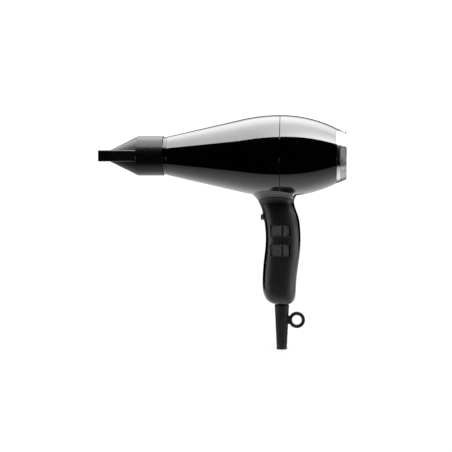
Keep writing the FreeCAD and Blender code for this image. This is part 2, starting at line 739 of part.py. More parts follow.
def make_handle():
    outer = handle_solid(0.0)
    under_panel = handle_solid(panel_thickness)
    cavity = handle_solid(inner_wall)
    window = panel_window()
    halves = {"left": box(-BIG, BIG, -BIG, 0, -BIG, BIG), "right": box(-BIG, BIG, 0, BIG, -BIG, BIG)}
    recess = outer.cut(under_panel).common(window)
    panel_skin = handle_solid(-panel_proud).cut(under_panel).common(window)

    z, f, b, h = handle_at()[0]
    floor_z = handle_top + neck_floor + touch_gap * 4
    spigot = lofted([oval(z - 6.0, f, b, h, spigot_inset), oval(floor_z, f, b, h, spigot_inset)])
    flange_inset = spigot_inset - flange_out
    flange = lofted([oval(zz, f, b, h, flange_inset) for zz in (floor_z, floor_z + flange_height)])
    throat = lofted([oval(z - 7.0, f, b, h, spigot_inset + shell_wall),
                     oval(floor_z + flange_height + 1, f, b, h, spigot_inset + shell_wall)])

    skirt = skirt_band(0.0, skirt_wall)
    shell = outer.cut(cavity).fuse(skirt).fuse(spigot).fuse(flange).cut(throat)
    rib_heights = [handle_top - 21.1, handle_top - 62.5, handle_top - 84.0]
    passage = box(-9.5, 13.5, -9.0, 9.0, -BIG, BIG)
    for rib_z in rib_heights:
        rib = cavity.common(box(-BIG, BIG, -BIG, BIG, rib_z - 0.8, rib_z + 0.8)).cut(passage)
        shell = shell.fuse(rib)

    bezel_outer = lofted([oval(zz, ff, bb, hh, -bezel_proud) for zz, ff, bb, hh in handle_at()])
    bezel = bezel_solid(bezel_outer)
    shell = shell.cut(bezel).cut(button_form(button_gap, -BIG / 4, 0.0))
    flange_x = between(handle_at(), button_z)[0] + inner_wall
    shell = shell.cut(button_form(button_flange + button_gap, flange_x, 0.0))

    seat_z = handle_bottom + inner_wall
    shell = shell.cut(rod_z(handle_bottom - 1, seat_z + 1, relief_groove_radius))
    shell = shell.cut(rod_z(seat_z, seat_z + relief_head_height + 1, relief_head_radius + touch_gap * 2))

    shells = {}
    for side, half in halves.items():
        shells[side] = shell.common(half).cut(recess.common(half))
    for sx, depth in handle_screws:
        sz = handle_top - depth
        boss = rod_y(-BIG, BIG, boss_radius, sx, sz).common(cavity)
        shells["left"] = shells["left"].fuse(boss.common(halves["left"]))
        shells["right"] = shells["right"].fuse(boss.common(halves["right"]))
    panels = {side: panel_skin.common(half) for side, half in halves.items()}

    screws = []
    for sx, depth in handle_screws:
        sz = handle_top - depth
        seat_y = side_depth(sx, sz) - screw_head_height - 0.9
        length = seat_y + side_depth(sx, sz) - inner_wall - 0.5
        one = screw(length)
        one.rotate(V(0, 0, 0), V(0, 0, 1), 90)
        screws.append(placed(one, sx, seat_y, sz))
        head_room = rod_y(seat_y, BIG, screw_recess_radius, sx, sz)
        hole = rod_y(seat_y - length, seat_y + 1, screw_shank_radius, sx, sz)
        panels["right"] = panels["right"].cut(head_room).cut(hole)
        shells["right"] = shells["right"].cut(head_room).cut(hole)
        shells["left"] = shells["left"].cut(hole)
    for zz in switch_heights:
        cut = rocker_window(zz)
        panels["left"] = panels["left"].cut(cut)
        shells["left"] = shells["left"].cut(cut)
    for side in halves:
        save("handle_" + side + "_shell", merged(shells[side]))
        save(side + "_grip_panel", panels[side])
    save("handle_screws", screws)
    save("button_bezel", bezel)
    save("neck_screws", [placed(screw(neck_screw_length), *spot) for spot in neck_screw_spots])


# ---------------------------------------------------------------- switches
def make_switches():
    for name, z in zip(("speed", "heat"), switch_heights):
        face = rocker_outline(z)
        underside = rocker_pivot_y + rocker_underside
        section = face + [(face[-1][0], underside), (face[0][0], underside)]
        outline = [V(x, y, z - rocker_height / 2) for x, y in section]
        cap = polygon_face(outline).extrude(V(0, 0, rocker_height))
        upright = [e for e in cap.Edges if e.BoundBox.ZLength > rocker_height - 0.1]
        ridge = [e for e in upright if abs(e.BoundBox.YMin - face[1][1]) < 0.01]
        cap = cap.makeFillet(rocker_ridge_round, ridge)
        face_y = max(face[0][1], face[-1][1])
        rim = [e for e in cap.Edges if e.BoundBox.YMax < face_y + 0.01 and e.BoundBox.ZLength < 0.01]
        cap = cap.makeFillet(0.5, rim)
        ridge_x, ridge_y = face[1]
        half = rocker_line_width / 2
        cap = cap.cut(box(ridge_x - half, ridge_x + half, -BIG, ridge_y + rocker_line_depth, -BIG, BIG))
        pin_end = trunnion_length / 2
        trunnion = rod_z(z - pin_end, z + pin_end, trunnion_radius, rocker_x, rocker_pivot_y)
        save(name + "_rocker", merged(cap.fuse(trunnion)))

        drop = rocker_length / 2 * math.sin(math.radians(rocker_swing_deg)) + 0.4
        y0 = underside + drop
        half_l = switch_body_length / 2
        half_h = switch_body_height / 2
        body = box(rocker_x - half_l, rocker_x + half_l, y0, y0 + switch_body_depth, z - half_h, z + half_h)
        for side in (-1, 1):
            z_in = rocker_height / 2 + rocker_gap
            lo, hi = sorted((z + side * z_in, z + side * (z_in + ear_thickness)))
            ear = box(rocker_x - 3.0, rocker_x + 3.0, rocker_pivot_y - 1.6, y0, lo, hi)
            body = body.fuse(ear)
        hole_radius = trunnion_radius + pivot_gap
        pin_hole = rod_z(z - half_h - 1, z + half_h + 1, hole_radius, rocker_x, rocker_pivot_y)
        body = body.cut(pin_hole.common(box(-BIG, BIG, -BIG, y0 - 0.2, -BIG, BIG)))
        for k in (-1, 1):
            tz = z + k * 4.5
            x0 = rocker_x + half_l
            half_w = terminal_width / 2
            half_t = terminal_thickness / 2
            tab = box(x0 - 1, x0 + terminal_length, 1.0 - half_w, 1.0 + half_w, tz - half_t, tz + half_t)
            body = body.fuse(tab)
        save(name + "_switch", merged(body))


# ---------------------------------------------------------------- cool-shot button
def make_button():
    front = between(handle_at(), button_z)[0]
    face_x = front - button_stands_out
    flange_x0 = front + inner_wall + 0.5
    flange_x1 = flange_x0 + button_flange
    cap = button_form(0.0, face_x, flange_x1)
    lip = [e for e in cap.Edges if e.BoundBox.XMax < face_x + 0.01]
    cap = cap.makeFillet(0.7, lip)
    flange = button_form(1.2, flange_x0, flange_x1)
    body_x0 = flange_x1 + button_travel + 2.6
    plunger = rod_x(flange_x1 - 0.5, body_x0 + plunger_reach, plunger_radius, 0.0, button_z)
    save("cool_shot_button", merged(cap.fuse(flange).fuse(plunger)))

    sx, sy, sz = microswitch_size
    micro = box(body_x0, body_x0 + sx, -sy / 2, sy / 2, button_z - sz / 2, button_z + sz / 2)
    hole_x1 = body_x0 + plunger_reach + button_travel + 0.5
    micro = micro.cut(rod_x(body_x0 - 1, hole_x1, plunger_radius + 0.15, 0.0, button_z))
    for k in (-1, 1):
        half_t = terminal_thickness / 2
        half_w = terminal_width / 2
        tab_x = body_x0 + sx
        blade = box(tab_x - 0.5, tab_x + terminal_length, k * 3 - half_t, k * 3 + half_t,
                    button_z - half_w, button_z + half_w)
        micro = micro.fuse(blade)
    save("cool_shot_switch", merged(micro))

    room = body_x0 - flange_x1 - spring_wire - 0.2
    helix = Part.makeHelix(room / spring_turns, room, spring_radius)
    section = Part.Wire(Part.makeCircle(spring_wire / 2, V(spring_radius, 0, 0), V(0, 1, 0)))
    spring = Part.Wire(helix.Edges).makePipeShell([section], True, True)
    spring.rotate(V(0, 0, 0), V(0, 1, 0), 90)
    spring.translate(V(flange_x1 + spring_wire / 2 + 0.1, 0, button_z))
    save("button_spring", spring)


# ---------------------------------------------------------------- strain relief
relief_top = handle_bottom - relief_seat_gap
relief_bottom = relief_top - relief_length


def make_strain_relief():
    groove_top = handle_bottom + inner_wall + touch_gap
    head_top = groove_top + relief_head_height
    tip = relief_tip_radius + 0.1
    groove = relief_groove_radius - touch_gap
    body = turned_z([
        (cord_bore_radius, relief_bottom), (tip, relief_bottom), (tip, relief_bottom + 1.6),
        (tip - 0.2, relief_bottom + 2.0), (relief_top_radius, relief_top - 0.6),
        (relief_top_radius - 0.6, relief_top), (groove, relief_top), (groove, groove_top),
        (relief_head_radius, groove_top), (relief_head_radius, head_top), (cord_bore_radius, head_top)])
    taper = (relief_top_radius - relief_tip_radius) / relief_length
    cuts = []
    for i in range(slot_count):
        z1 = relief_top - slot_first - i * slot_pitch
        depth_radius = relief_top_radius - taper * (relief_top - z1) - slot_depth
        slot = rod_z(z1 - slot_height, z1, relief_top_radius + 3)
        slot = slot.cut(rod_z(z1 - slot_height, z1, depth_radius))
        slot = slot.cut(box(-BIG, BIG, -spine_width / 2, spine_width / 2, -BIG, BIG))
        slot = slot.cut(box(-spine_width / 2, spine_width / 2, -BIG, BIG, -BIG, BIG))
        cuts.append(slot)
    body = body.cut(Part.makeCompound(cuts))

    loop_z = relief_top - loop_drop
    half = loop_thickness / 2
    loop = rod_y(-half, half, loop_radius, loop_x, loop_z)
    loop = loop.cut(rod_y(-half, half, loop_hole_radius, loop_x, loop_z))
    loop = loop.makeFillet(loop_round, [e for e in loop.Edges if abs(e.BoundBox.YLength) < 0.01])
    neck_x0 = cord_bore_radius + 2.0
    neck_half = loop_neck_height / 2
    neck_x1 = loop_x - loop_hole_radius - 1.2
    neck = box(neck_x0, neck_x1, -half + 0.6, half - 0.6, loop_z - neck_half, loop_z + neck_half)
    neck = neck.cut(rod_y(-half, half, loop_hole_radius + 1.0, loop_x, loop_z))
    save("strain_relief", merged(body.fuse(neck).fuse(loop)))


# ---------------------------------------------------------------- duct, motor and fan
duct_radius = skin(duct_rear_x, housing_wall) - duct_gap
duct_bore = duct_radius - duct_wall
fan_radius = duct_bore - fan_tip_gap
cup_bore = stator_radius + touch_gap
stator_rear_x = stator_front_x + stator_length
cup_rear_x = stator_rear_x + 6.0
front_bracket_x = stator_front_x - 8.0
rear_bracket_x = stator_rear_x + 5.6


def make_duct():
    tube = ring_x(duct_front_x, duct_rear_x, duct_radius, duct_bore)
    cup = ring_x(duct_front_x, cup_rear_x, cup_bore + cup_wall, cup_bore)
    vane = box(duct_front_x + 2, cup_rear_x - 2, -vane_thickness / 2, vane_thickness / 2,
               axis_height + cup_bore + cup_wall / 2, axis_height + duct_bore + duct_wall / 2)
    save("air_duct", merged(tube.multiFuse([cup] + round_the_barrel(vane, vane_count, 90.0))))

    for name, x0 in (("front_mount_ring", duct_front_x + 5.0), ("rear_mount_ring", 20.0)):
        ring = skin_solid(housing_wall + touch_gap, x0, x0 + mount_ring_width)
        ring = ring.cut(rod_x(x0 - 1, x0 + mount_ring_width + 1, duct_radius + touch_gap))
        slot = box(-BIG, BIG, -19.0, 19.0, 0, axis_height - 20)
        save(name, ring.cut(slot))


def make_motor():
    slot_half = stator_radius - stator_yoke
    core = ring_x(stator_front_x, stator_rear_x, stator_radius, slot_half)
    pole_reach = armature_radius + air_gap
    poles = []
    coils = []
    coil_over = 2.2
    for side in (-1, 1):
        y_lo, y_hi = sorted((0.0, side * (slot_half + 0.5)))
        pole = box(stator_front_x, stator_rear_x, y_lo, y_hi, axis_height - 5.5, axis_height + 5.5)
        shoe = ring_x(stator_front_x, stator_rear_x, pole_reach + 1.8, pole_reach)
        a, b = sorted((0, side * BIG))
        shoe = shoe.common(box(-BIG, BIG, a, b, axis_height - 10, axis_height + 10))
        poles += [pole.cut(rod_x(-BIG, BIG, pole_reach)), shoe]
        coil_x0 = stator_front_x - coil_over
        coil_x1 = stator_rear_x + coil_over
        coil = ring_x(coil_x0, coil_x1, slot_half - 0.3, pole_reach + 2.1)
        a, b = sorted((side * 3, side * BIG))
        coil = coil.common(box(-BIG, BIG, a, b, axis_height - 10.5, axis_height + 10.5))
        low_z = axis_height - 5.8
        high_z = axis_height + 5.8
        coil = coil.cut(box(stator_front_x - 0.2, stator_rear_x + 0.2, -BIG, BIG, low_z, high_z))
        coils.append(coil)
    save("stator_core", merged(core.multiFuse(poles)))
    save("field_coils", coils)

    arm_x0 = stator_front_x + 0.5
    arm_x1 = stator_rear_x - 0.5
    armature = ring_x(arm_x0, arm_x1, armature_radius, shaft_radius)
    half = slot_open / 2
    tooth_gap = box(arm_x0 - 1, arm_x1 + 1, -half, half, axis_height + 7.5, axis_height + 20)
    armature = armature.cut(Part.makeCompound(round_the_barrel(tooth_gap, armature_slots)))
    save("armature_core", armature)
    front_end = turned_x([(arm_x0 - 2.6, 5.5), (arm_x0 - 2.6, 8.6), (arm_x0 - 1.2, 10.6),
                          (arm_x0, 10.6), (arm_x0, 5.5)])
    rear_end = turned_x([(arm_x1, 4.0), (arm_x1, 10.6), (arm_x1 + 1.6, 10.6),
                         (arm_x1 + 3.4, 8.0), (arm_x1 + 3.4, 4.0)])
    save("armature_windings", [front_end, rear_end])

    com_x1 = arm_x0 - 2.6
    com_x0 = com_x1 - commutator_length
    commutator = ring_x(com_x0, com_x1, commutator_radius, shaft_radius)
    bar_gap = box(com_x0 - 1, com_x1 - 1, -0.2, 0.2, axis_height + commutator_radius - 1.0, axis_height + 20)
    save("commutator", commutator.cut(Part.makeCompound(round_the_barrel(bar_gap, commutator_bars))))
    fan_rear_x = fan_front_x + fan_hub_length
    save("motor_shaft", rod_x(shaft_front_x - 4.0, fan_rear_x + 3.0, shaft_radius))

    brush_x = (com_x0 + com_x1) / 2
    brushes = []
    holders = []
    springs = []
    for side in (-1, 1):
        y_in = commutator_radius + 0.1
        y_mid = y_in + brush_length
        y_out = cup_bore - 2.0
        a, b = sorted((side * y_in, side * y_mid))
        w = brush_width / 2
        t = brush_height / 2
        brushes.append(box(brush_x - w, brush_x + w, a, b, axis_height - t, axis_height + t))
        a, b = sorted((side * (y_in + 1.5), side * y_out))
        w = brush_width / 2 + 0.9
        t = brush_height / 2 + 0.9
        holder = box(brush_x - w, brush_x + w, a, b, axis_height - t, axis_height + t)
        a, b = sorted((side * y_in, side * (y_out - 0.8)))
        w = brush_width / 2 + 0.1
        t = brush_height / 2 + 0.1
        holders.append(holder.cut(box(brush_x - w, brush_x + w, a, b, axis_height - t, axis_height + t)))
        a, b = sorted((side * (y_mid + 0.1), side * (y_out - 0.9)))
        springs.append(Part.makeCylinder(1.6, b - a, V(brush_x, a, axis_height), V(0, 1, 0))
                       .cut(Part.makeCylinder(1.1, b - a, V(brush_x, a, axis_height), V(0, 1, 0))))
    save("carbon_brushes", brushes)
    save("brush_holders", holders)
    save("brush_springs", springs)

    # bearing brackets: a rim, a boss and four arms, with the bearing bush in the boss
    front_boss_x = com_x0 - 1.0 - bearing_length
    for name, x0, boss_x in (("front_bracket", front_boss_x, front_boss_x),
                             ("rear_bracket", rear_bracket_x, rear_bracket_x)):
        rim_x1 = x0 + bracket_thickness
        rim = ring_x(x0, rim_x1, cup_bore - touch_gap, cup_bore - 3.6)
        boss = ring_x(boss_x, boss_x + bearing_length, bearing_radius + 2.0, bearing_radius)
        arm = box(x0, rim_x1, -2.0, 2.0, axis_height + bearing_radius + 1.0, axis_height + cup_bore - 3.0)
        bracket = rim.multiFuse([boss] + round_the_barrel(arm, 4, 45.0))
        save("motor_" + name, merged(bracket))
        bush = ring_x(boss_x, boss_x + bearing_length, bearing_radius, shaft_radius + bearing_gap)
        save("motor_" + name.replace("bracket", "bearing"), bush)

    r = fan_hub_radius
    hub = turned_x([
        (fan_front_x, shaft_radius), (fan_front_x, r), (fan_rear_x - 4.5, r), (fan_rear_x - 2.0, r - 1.0),
        (fan_rear_x - 0.6, r - 3.0), (fan_rear_x, r - 5.5), (fan_rear_x, shaft_radius)])
    middle = (fan_front_x + fan_rear_x) / 2
    blade = box(middle - blade_chord / 2, middle + blade_chord / 2, -blade_thickness / 2, blade_thickness / 2,
                axis_height + fan_hub_radius - 2.0, axis_height + fan_radius + 3.0)
    blade.rotate(V(middle, 0, axis_height), V(0, 0, 1), blade_pitch_deg)
    blade = blade.common(rod_x(fan_front_x + 1, fan_rear_x - 1, fan_radius))
    save("fan", hub.multiFuse(round_the_barrel(blade, blade_count)))
    nut = ring_x(fan_rear_x, fan_rear_x + 2.2, 4.6, shaft_radius)
    save("fan_clip", nut)


# ---------------------------------------------------------------- heater
def make_heater():
    x0 = shoulder_x + heater_front_gap
    x1 = duct_front_x - heater_gap - 6.0
    save("heater_sleeve", skin_shell(sleeve_inset, sleeve_thickness, x0, x1))
    inside = skin_solid(sleeve_inset + sleeve_thickness + fit_gap, x0 + 1.0, x1 - 1.0)
    t = board_thickness / 2
    middle = (x0 + x1) / 2
    upright = inside.common(box(-BIG, BIG, -t, t, -BIG, BIG))
    flat = inside.common(box(-BIG, BIG, -BIG, BIG, axis_height - t, axis_height + t))
    upright = upright.cut(box(-BIG, middle, -BIG, BIG, axis_height - t - 0.05, axis_height + t + 0.05))
    flat = flat.cut(box(middle, BIG, -t - 0.05, t + 0.05, -BIG, BIG))
    coils = []
    holes = []
    span = x1 - x0 - 14.0
    for i in range(coil_turns):
        x = x0 + 7.0 + span * i / (coil_turns - 1)
        r = skin(x, sleeve_inset + sleeve_thickness) - 4.2
        coils.append(Part.makeTorus(r, coil_wire, V(x, 0, axis_height), V(1, 0, 0)))
        holes.append(Part.makeTorus(r, coil_wire + coil_clear, V(x, 0, axis_height), V(1, 0, 0)))
    upright = upright.cut(Part.makeCompound(holes))
    flat = flat.cut(Part.makeCompound(holes))
    save("heater_board_upright", upright)
    save("heater_board_flat", flat)
    save("heater_coils", coils)
    save("thermostat", box(x1 - 20.0, x1 - 9.0, 5.0, 12.0, axis_height + t, axis_height + t + 3.5))
    fuse_x = x1 - 20.0
    save("thermal_fuse", rod_x(fuse_x, fuse_x + 10.0, 1.8, -9.0, axis_height + t + 1.8))


# ---------------------------------------------------------------- wiring and clamp
def make_wiring():
    floor = handle_bottom + inner_wall
    clamp_z = floor + clamp_rise
    clamp = box(-11.0, 8.0, -4.6, -0.6, clamp_z - 4.0, clamp_z + 4.0)
    clamp = clamp.cut(rod_z(clamp_z - 5, clamp_z + 5, cord_bore_radius, 0.0, 0.0))
    seat = box(-11.0, 8.0, 0.6, 4.6, clamp_z - 4.0, clamp_z + 4.0)
    seat = seat.cut(rod_z(clamp_z - 5, clamp_z + 5, cord_bore_radius, 0.0, 0.0))
    screws = []
    base = screw(7.0, 2.4, 1.2)
    base.rotate(V(0, 0, 0), V(0, 0, 1), -90)
    for x in (-7.8, 5.9):
        clamp = clamp.cut(rod_y(-5.0, 0.0, 1.2, x, clamp_z))
        seat = seat.cut(rod_y(0.0, 5.0, 1.2, x, clamp_z))
        screws.append(placed(base, x, -4.6, clamp_z))
    save("cord_clamp", [clamp, seat])
    save("clamp_screws", screws)

    block_z = handle_top - 76.0
    block = box(-7.0, 7.0, -5.0, 5.0, block_z - 5.0, block_z + 5.0)
    for x in (-3.5, 3.5):
        block = block.cut(rod_z(block_z - 6, block_z + 6, 1.6, x, 0.0))
        block = block.cut(rod_y(-6.0, 0.0, 1.5, x, block_z))
    save("terminal_block", block)

    x_tab = rocker_x + switch_body_length / 2 + terminal_length
    save("supply_leads", make_leads_in_handle(block_z, x_tab))
    save("motor_leads", make_leads_to_motor(x_tab))


def make_leads_in_handle(block_z, x_tab):
    """Two leads from the terminal block, up to the lower switch's tabs."""
    lower = switch_heights[1]
    x_run = x_tab + lead_radius + 0.3
    first = tube_along([V(3.5, 0, block_z + 1), V(3.5, 0, block_z + 9.0), V(x_run, 0, block_z + 15.0),
                        V(x_run, 0, lower - 4.0)], lead_radius)
    second = tube_along([V(-3.5, 0, block_z + 1), V(-3.5, 0, block_z + 8.5), V(3.0, 8.5, block_z + 11.5),
                         V(x_run, 5.0, block_z + 16.0), V(x_run, 5.0, switch_heights[0] - 4.0)], lead_radius)
    return [first, second]


def make_leads_to_motor(x_tab):
    """Four leads from the upper switch, through the neck, to the motor and the heater."""
    top = switch_heights[0]
    x_run = x_tab + lead_radius + 0.3
    heater_x = duct_front_x - heater_gap - 4.0
    leads = []
    for i in range(4):
        y = -4.5 + 3.0 * i
        end_z = axis_height - 28.0 if i in (0, 3) else axis_height - 24.0
        leads.append(tube_along([
            V(x_run, y, top + 2.0), V(x_run - 0.2, y, top + 14.0), V(2.5, y, handle_top - 2.0),
            V(-4.0, y, handle_top + 6.0), V(-18.0, y, handle_top + 10.5),
            V(heater_x, y, handle_top + 18.0), V(heater_x, y, end_z)], lead_radius))
    return leads


make_housings()
make_nozzle()
make_filter()
make_handle()
make_switches()
make_button()
make_strain_relief()
make_duct()
make_motor()
make_heater()
make_wiring()
print("cone angle", round(math.degrees(cone_angle), 2))
print("duct radius", round(duct_radius, 2), "fan radius", round(fan_radius, 2))
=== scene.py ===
# %% [markdown]
# This script dresses a hair dryer. The engineering model is already there, one mesh for each real part.
# Two of those parts are made again here, the wire cloth of the rear filter and the spring behind the
# cool-shot button, and all the others keep their shape. Then each part gets its finish, and a small photo
# studio stands around it all.

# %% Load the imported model
import math
import bpy
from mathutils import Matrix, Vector


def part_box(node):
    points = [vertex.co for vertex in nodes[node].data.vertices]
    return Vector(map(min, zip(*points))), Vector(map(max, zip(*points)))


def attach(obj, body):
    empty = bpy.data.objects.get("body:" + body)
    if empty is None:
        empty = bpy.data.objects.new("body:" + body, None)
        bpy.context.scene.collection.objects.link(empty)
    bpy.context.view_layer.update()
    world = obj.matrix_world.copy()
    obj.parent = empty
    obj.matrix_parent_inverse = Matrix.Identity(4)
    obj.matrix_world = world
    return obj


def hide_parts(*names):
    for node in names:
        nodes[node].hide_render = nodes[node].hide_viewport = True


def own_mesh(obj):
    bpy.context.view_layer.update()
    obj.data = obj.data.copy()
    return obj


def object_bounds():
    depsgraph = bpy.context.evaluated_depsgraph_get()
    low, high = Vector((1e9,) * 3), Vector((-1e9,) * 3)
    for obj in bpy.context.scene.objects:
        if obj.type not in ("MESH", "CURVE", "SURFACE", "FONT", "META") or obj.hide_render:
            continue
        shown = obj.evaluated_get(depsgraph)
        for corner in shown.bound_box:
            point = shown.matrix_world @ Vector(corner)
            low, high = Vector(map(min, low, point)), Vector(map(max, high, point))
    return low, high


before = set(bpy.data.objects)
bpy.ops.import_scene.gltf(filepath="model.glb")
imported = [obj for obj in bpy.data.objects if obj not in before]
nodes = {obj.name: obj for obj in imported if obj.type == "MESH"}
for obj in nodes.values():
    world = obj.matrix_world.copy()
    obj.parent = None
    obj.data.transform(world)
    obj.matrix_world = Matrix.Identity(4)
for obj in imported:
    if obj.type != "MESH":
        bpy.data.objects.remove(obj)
cad_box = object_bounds()

# %% [markdown]
# The studio's heights hang on a few places measured from the model. The barrel is a body turned about a
# level line, so its height is the middle of the nozzle's grip ring, and the grip's own middle is the
# origin of the whole model.

# %% Measure the landmarks
ring_low, ring_high = (Vector(corner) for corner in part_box("nozzle_grip_ring"))
barrel_height = (ring_low.z + ring_high.z) / 2
low, high = (Vector(corner) for corner in cad_box)
print("barrel height", round(barrel_height, 4), "size", [round(v, 4) for v in high - low])

# %% [markdown]
# The camera comes first, because every finish is judged through it. The dryer is seen square from its
# left side, from a little behind the seam of the barrel and at about the barrel's height. A long lens
# from a metre and a half keeps the far edge of the wide nozzle close behind the near one, as a product
# shot does.

# %% Camera
aim = Vector((-0.0616, 0.0, 0.028))
turn = math.radians(3.7)
lift = math.radians(2.75)
away = 1.5
frame_width = 0.4972
camera_data = bpy.data.cameras.new("camera")
camera = bpy.data.objects.new("camera", camera_data)
bpy.context.scene.collection.objects.link(camera)
direction = Vector((math.sin(turn) * math.cos(lift), -math.cos(turn) * math.cos(lift), math.sin(lift)))
camera.location = aim + direction * away
camera.rotation_euler = direction.to_track_quat("Z", "Y").to_euler()
camera_data.sensor_width = 36.0
camera_data.lens = camera_data.sensor_width * away / frame_width
bpy.context.scene.camera = camera
print("lens", round(camera_data.lens, 1), "mm at", [round(v, 3) for v in camera.location])

# %% [markdown]
# A gloss black object shows nothing of its own: what the eye reads is the studio mirrored in it. So the
# lights are chosen as shapes. One wide cloth hangs over the dryer and draws the long white band on the
# barrel. A pale table below draws the grey band under it, and the dark gap between them is simply an
# empty room. Each card here is a flat sheet that glows, and ray visibility keeps it out of the picture
# itself. How bright it is at each place is a scale of greys along its length and another across it, both
# given in metres.

# %% A helper that grades a value
def graded(tree, value, scale):
    """A scale of (place, share) along a value; returns its colour output."""
    first, last = scale[0][0], scale[-1][0]
    spread = tree.nodes.new("ShaderNodeMapRange")
    spread.inputs["From Min"].default_value = first
    spread.inputs["From Max"].default_value = last
    tree.links.new(value, spread.inputs["Value"])
    ramp = tree.nodes.new("ShaderNodeValToRGB")
    while len(ramp.color_ramp.elements) < len(scale):
        ramp.color_ramp.elements.new(0.5)
    for element, (place, share) in zip(ramp.color_ramp.elements, scale):
        element.position = (place - first) / (last - first)
        element.color = (share, share, share, 1.0)
    tree.links.new(spread.outputs[0], ramp.inputs["Fac"])
    return ramp.outputs["Color"]


print("helper ready:", graded.__name__)

# %% [markdown]
# A card's two scales are multiplied, so it can fade toward any of its edges. A card may also let light
# through, and then it only adds its own glow to what is behind it. That is how a lamp shows as a hot
# patch in a cloth.

# %% A helper that makes a glowing card
def card(name, corners, strength, along_y, along_x, sheer=False):
    """A glowing sheet seen only in reflections. Its scales are in metres; a sheer card adds its glow."""
    mesh = bpy.data.meshes.new(name)
    mesh.from_pydata(corners, [], [tuple(range(len(corners)))])
    sheet = bpy.data.objects.new(name, mesh)
    bpy.context.scene.collection.objects.link(sheet)
    glow = bpy.data.materials.new(name)
    glow.use_nodes = True
    tree = glow.node_tree
    tree.nodes.clear()
    out = tree.nodes.new("ShaderNodeOutputMaterial")
    emit = tree.nodes.new("ShaderNodeEmission")
    emit.inputs["Strength"].default_value = strength
    where = tree.nodes.new("ShaderNodeTexCoord")
    split = tree.nodes.new("ShaderNodeSeparateXYZ")
    tree.links.new(where.outputs["Object"], split.inputs[0])
    both = tree.nodes.new("ShaderNodeMix")
    both.data_type = "RGBA"
    both.blend_type = "MULTIPLY"
    both.inputs["Factor"].default_value = 1.0
    tree.links.new(graded(tree, split.outputs["Y"], along_y), both.inputs["A"])
    tree.links.new(graded(tree, split.outputs["X"], along_x), both.inputs["B"])
    tree.links.new(both.outputs["Result"], emit.inputs["Color"])
    surface = emit.outputs[0]
    if sheer:
        clear = tree.nodes.new("ShaderNodeBsdfTransparent")
        summed = tree.nodes.new("ShaderNodeAddShader")
        tree.links.new(clear.outputs[0], summed.inputs[0])
        tree.links.new(surface, summed.inputs[1])
        surface = summed.outputs[0]
    tree.links.new(surface, out.inputs["Surface"])
    mesh.materials.append(glow)
    sheet.visible_camera = False
    sheet.visible_diffuse = False
    sheet.visible_shadow = False
    print("card", name, "strength", strength, "corners", len(corners))
    return sheet


# %% [markdown]
# The cloth is the widest card. Its front edge makes the crisp lower line of the white band, so the edge
# runs a little askew, nearer the middle at the back of the dryer. Its glow is even over the dryer and
# dies away far behind it, which is what makes the band fade softly toward the top of the barrel.

# %% Overhead cloth
rise = 0.9
cloth_height = barrel_height + rise
cloth_half_width = 2.0
edge_middle = -0.65            # where the front edge crosses the dryer's own middle
edge_slant = 0.15              # how fast it comes in toward the back of the dryer
edge_left = edge_middle - edge_slant * cloth_half_width
edge_right = edge_middle + edge_slant * cloth_half_width
cloth_end = 2.4
cloth_front = [(-cloth_half_width, edge_left), (cloth_half_width, edge_right)]
cloth_back = [(cloth_half_width, cloth_end), (-cloth_half_width, cloth_end)]
cloth_depth = [(-1.0, 1.0), (0.3, 1.0), (1.5, 0.15), (cloth_end, 0.0)]
cloth_width = [(-1.5, 0.1), (-0.8, 1.0), (cloth_half_width, 1.0)]
cloth_corners = [(x, y, cloth_height) for x, y in cloth_front + cloth_back]
card("overhead_cloth", cloth_corners, 10.0, cloth_depth, cloth_width)

# %% [markdown]
# A lamp behind the cloth stands near its front edge, toward the back of the dryer. It shows as a hot
# patch that makes the white band brighten along the barrel until it almost burns out beside the silver
# ring. The patch is a sheer card that lies just under the cloth.

# %% Lamp patch in the cloth
lamp_height = cloth_height - 0.002
lamp_start = -0.3
lamp_end = 0.1
lamp_depth = [(-0.7, 1.0), (lamp_end, 0.0)]
lamp_width = [(lamp_start, 0.0), (0.7, 1.0)]
lamp_corners = [(lamp_start, edge_middle + edge_slant * lamp_start), (cloth_half_width, edge_right),
                (cloth_half_width, lamp_end), (lamp_start, lamp_end)]
card("lamp_patch", [(x, y, lamp_height) for x, y in lamp_corners], 14.0, lamp_depth, lamp_width, sheer=True)

# %% [markdown]
# The table is a card just under the floor. Its front edge is the line where the grey band begins on the
# belly of the barrel, and its glow rises away from that edge, as a table does that is lit from behind the
# object. It is brightest under the handle and fades beyond the nozzle, which keeps the nozzle's underside
# dark.

# %% Table glow
table = low.z - 0.02
table_front = -0.19
table_back = 1.4
table_depth = [(table_front, 0.3), (0.1, 1.0), (0.5, 0.55), (table_back, 0.2)]
table_width = [(-0.5, 0.1), (-0.2, 0.85), (0.0, 1.0), (0.2, 0.8), (1.0, 0.3)]
table_left, table_right = -0.9, 1.2
table_corners = [(table_left, table_front), (table_right, table_front), (table_right, table_back),
                 (table_left, table_back)]
card("table_glow", [(x, y, table) for x, y in table_corners], 2.2, table_depth, table_width)

# %% [markdown]
# Two cards stand at the ends of the room. They light the front and the back of the handle, so that its
# matt panel fades to dark in the middle. They are kept lower than the barrel, so that the barrel's dark
# band stays dark.

# %% Side cards
side_distance = 1.1
side_near, side_far = -0.7, 0.2
side_foot, side_head = -0.18, 0.03
side_depth = [(side_near, 0.4), (0.0, 1.0), (side_far, 0.9)]
side_width = [(-2.0, 1.0), (2.0, 1.0)]
for name, side, strength in (("left_card", -1, 6.5), ("right_card", 1, 7.0)):
    wall = aim.x + side * side_distance
    card(name, [(wall, side_near, side_foot), (wall, side_far, side_foot), (wall, side_far, side_head),
                (wall, side_near, side_head)], strength, side_depth, side_width)

# %% [markdown]
# The floor is plain white paper. Besides being lit it glows by itself, so that it and the white room
# behind it read as one seamless sheet, and it hides from glossy rays, because the table card already
# plays its part in them.

